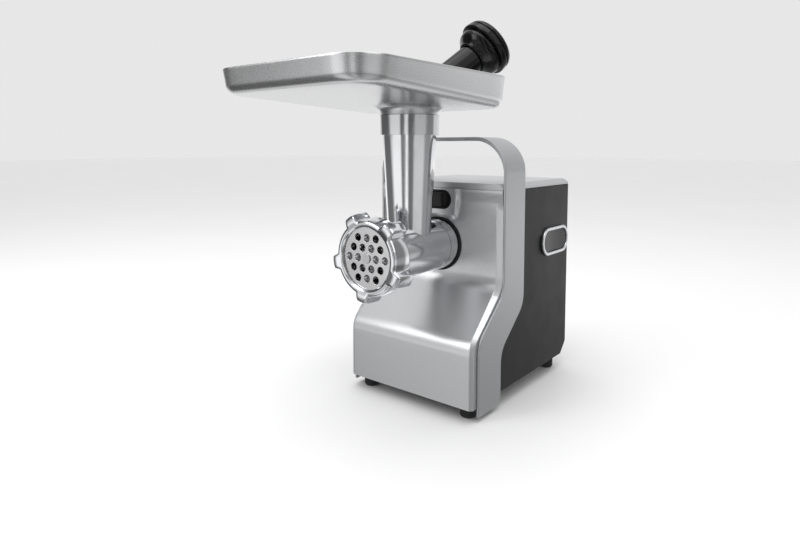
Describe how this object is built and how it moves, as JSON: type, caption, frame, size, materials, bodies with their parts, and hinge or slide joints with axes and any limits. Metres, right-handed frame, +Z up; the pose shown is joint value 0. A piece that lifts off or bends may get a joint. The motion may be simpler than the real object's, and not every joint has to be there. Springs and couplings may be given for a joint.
{
  "type": "electric meat grinder",
  "caption": "Counter-top electric meat grinder: boxy motor housing with a carrying band, front grinding head, feed tray and pusher.",
  "frame": {"origin": "on the table, below the middle of the overall length and width, at the bottom of the feet", "axes": "+Z up, the ring nut's open face looks along -Y, +X is on the side of the rocker switch"},
  "size_m": [0.172, 0.3582, 0.3727],
  "materials": {
    "silver_front": "fine metallic satin",
    "silver_band": "fine metallic satin",
    "charcoal_panel": "fine grain",
    "cover_silver": "satin",
    "head_metal": "polished casting",
    "nut_metal": "polished casting",
    "tray_metal": "brushed satin",
    "cutting_steel": "ground",
    "shaft_steel": "turned",
    "screw_steel": "zinc plated",
    "core_steel": "laminated",
    "black_gloss": "gloss",
    "black_matte": "fine grain",
    "white_plastic": "smooth",
    "gear_plastic": "moulded nylon",
    "box_metal": "die cast",
    "copper": "enamelled winding",
    "bronze": "sintered",
    "carbon": "carbon",
    "board_green": "lacquered board",
    "seal_rubber": "smooth",
    "foot_rubber": "matte",
    "bezel_chrome": "satin chrome"
  },
  "bodies": {
    "housing": {"front_panel": "silver_front", "handle_band": "silver_band", "side_panel_left": "charcoal_panel", "side_panel_right": "charcoal_panel", "top_cover": "cover_silver", "rear_cover": "charcoal_panel", "base_plate": "black_matte", "feet": "foot_rubber", "foot_screws": "screw_steel", "cover_screws": "screw_steel", "socket_seal": "seal_rubber", "head_socket": "head_metal", "gearbox_housing": "box_metal", "gearbox_cover": "box_metal", "gearbox_screws": "screw_steel", "output_bush": "bronze", "motor_stator": "core_steel", "field_coils": "copper", "motor_bearings": "shaft_steel", "motor_rear_bracket": "box_metal", "motor_bolts": "screw_steel", "brush_holders": "bronze", "carbon_brushes": "carbon", "motor_cradle": "black_matte", "button_bezel": "black_matte", "latch_guide": "black_matte", "switch_bezel": "bezel_chrome", "switch_body": "black_matte", "control_board": "board_green", "cord_gland": "black_matte"},
    "head": {"head_barrel": "head_metal", "auger_bush": "white_plastic", "perforated_plate": "cutting_steel"},
    "auger": {"auger": "head_metal", "auger_tang": "shaft_steel", "auger_pin": "shaft_steel", "knife": "cutting_steel"},
    "nut_washer": {"nut_washer": "white_plastic"},
    "ring_nut": {"ring_nut": "nut_metal"},
    "tray": {"tray": "tray_metal"},
    "pusher": {"pusher_stem": "black_gloss", "pusher_knob": "black_gloss"},
    "output": {"output_shaft": "shaft_steel", "output_gear": "shaft_steel"},
    "idler_two": {"idler_two_gear": "shaft_steel", "idler_two_shaft": "shaft_steel"},
    "idler_one": {"idler_one_gear": "gear_plastic", "idler_one_shaft": "shaft_steel"},
    "rotor": {"motor_pinion": "shaft_steel", "motor_shaft": "shaft_steel", "armature": "core_steel", "commutator": "copper", "motor_fan": "white_plastic"},
    "release_button": {"release_button": "black_gloss"},
    "latch": {"latch": "shaft_steel", "latch_spring": "shaft_steel"},
    "rocker": {"switch_rocker": "black_gloss"}
  },
  "joints": [
    {"name": "motor_spin", "type": "hinge", "parent": "housing", "child": "rotor", "pos_m": [0.00012, 0.1206, 0.07006], "axis": [0, -1, 0], "continuous": true},
    {"name": "idler_one_spin", "type": "hinge", "parent": "housing", "child": "idler_one", "pos_m": [-0.00203, 0.0706, 0.10078], "axis": [0, -1, 0], "continuous": true},
    {"name": "idler_two_spin", "type": "hinge", "parent": "housing", "child": "idler_two", "pos_m": [-0.03002, 0.0706, 0.11827], "axis": [0, -1, 0], "continuous": true},
    {"name": "output_spin", "type": "hinge", "parent": "housing", "child": "output", "pos_m": [0, 0.0506, 0.1528], "axis": [0, -1, 0], "continuous": true},
    {"name": "auger_spin", "type": "hinge", "parent": "head", "child": "auger", "pos_m": [0, -0.0294, 0.1528], "axis": [0, -1, 0], "continuous": true},
    {"name": "head_out", "type": "slide", "parent": "housing", "child": "head", "axis": [0, -1, 0], "range_m": [0, 0.06]},
    {"name": "nut_turn", "type": "hinge", "parent": "nut_washer", "child": "ring_nut", "pos_m": [0, -0.0794, 0.1528], "axis": [0, -1, 0], "range_deg": [0, 1080]},
    {"name": "nut_travel", "type": "slide", "parent": "head", "child": "nut_washer", "axis": [0, -1, 0], "range_m": [0, 0.0091]},
    {"name": "tray_lift", "type": "slide", "parent": "head", "child": "tray", "axis": [0, 0, 1], "range_m": [0, 0.06]},
    {"name": "pusher_pull", "type": "slide", "parent": "tray", "child": "pusher", "axis": [0.3967, 0.6871, 0.6088], "range_m": [0, 0.09]},
    {"name": "button_press", "type": "slide", "parent": "housing", "child": "release_button", "axis": [0, 1, 0], "range_m": [0, 0.004], "stiffness_N_per_m": 400, "springref_m": -0.002},
    {"name": "latch_lift", "type": "slide", "parent": "housing", "child": "latch", "axis": [0, 0, 1], "range_m": [0, 0.004], "deforming": ["latch_spring"]},
    {"name": "rocker_tilt", "type": "hinge", "parent": "housing", "child": "rocker", "pos_m": [0.0694, 0.1416, 0.15], "axis": [0, 0, 1], "range_deg": [-6, 6]}
  ],
  "couplings": [
    {"joint": "idler_one_spin", "follows": "motor_spin", "ratio": -0.16667},
    {"joint": "idler_two_spin", "follows": "motor_spin", "ratio": 0.037037},
    {"joint": "output_spin", "follows": "motor_spin", "ratio": -0.010031},
    {"joint": "auger_spin", "follows": "motor_spin", "ratio": -0.010031},
    {"joint": "nut_travel", "follows": "nut_turn", "m_per_rad": 0.00047746},
    {"joint": "latch_lift", "follows": "button_press", "ratio": 1}
  ]
}
